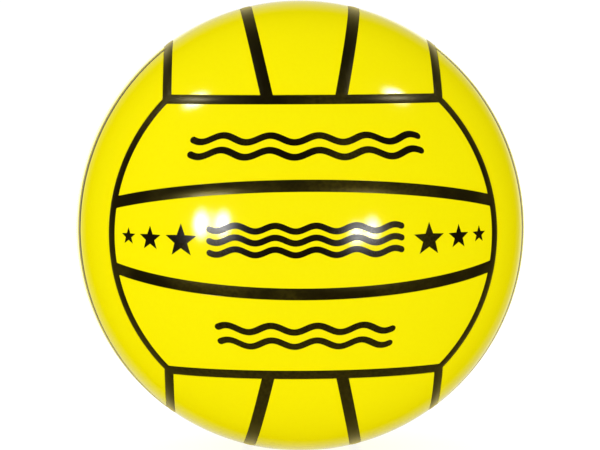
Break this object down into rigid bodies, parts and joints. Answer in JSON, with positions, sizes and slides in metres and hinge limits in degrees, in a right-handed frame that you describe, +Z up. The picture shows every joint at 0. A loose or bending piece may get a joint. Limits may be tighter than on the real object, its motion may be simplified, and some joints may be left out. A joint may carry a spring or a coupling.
{
  "type": "water polo ball",
  "caption": "Pumped-up ball for water polo: glossy bonded panels between dark ribs, over a wound bladder, with a needle valve flush in its back.",
  "frame": {"origin": "centre of the ball", "axes": "-Y towards the front face, +Y out of the valve, +X to the right seen from the front, +Z up"},
  "size_m": [0.22, 0.22, 0.22],
  "materials": {
    "panel_cover": "gloss",
    "carcass_rubber": "satin",
    "winding_thread": "matte",
    "bladder_rubber": "satin",
    "valve_housing_rubber": "satin",
    "valve_core_rubber": "matte"
  },
  "bodies": {
    "root": {"bladder": "bladder_rubber", "winding": "winding_thread", "carcass": "carcass_rubber", "valve_housing": "valve_housing_rubber", "valve_core": "valve_core_rubber", "back_upper_panel": "panel_cover", "back_middle_panel": "panel_cover", "back_lower_panel": "panel_cover", "front_upper_panel": "panel_cover", "front_middle_panel": "panel_cover", "front_lower_panel": "panel_cover", "top_right_panel": "panel_cover", "top_middle_panel": "panel_cover", "top_left_panel": "panel_cover", "bottom_right_panel": "panel_cover", "bottom_middle_panel": "panel_cover", "bottom_left_panel": "panel_cover", "right_back_panel": "panel_cover", "right_middle_panel": "panel_cover", "right_front_panel": "panel_cover", "left_front_panel": "panel_cover", "left_middle_panel": "panel_cover", "left_back_panel": "panel_cover"}
  },
  "joints": []
}
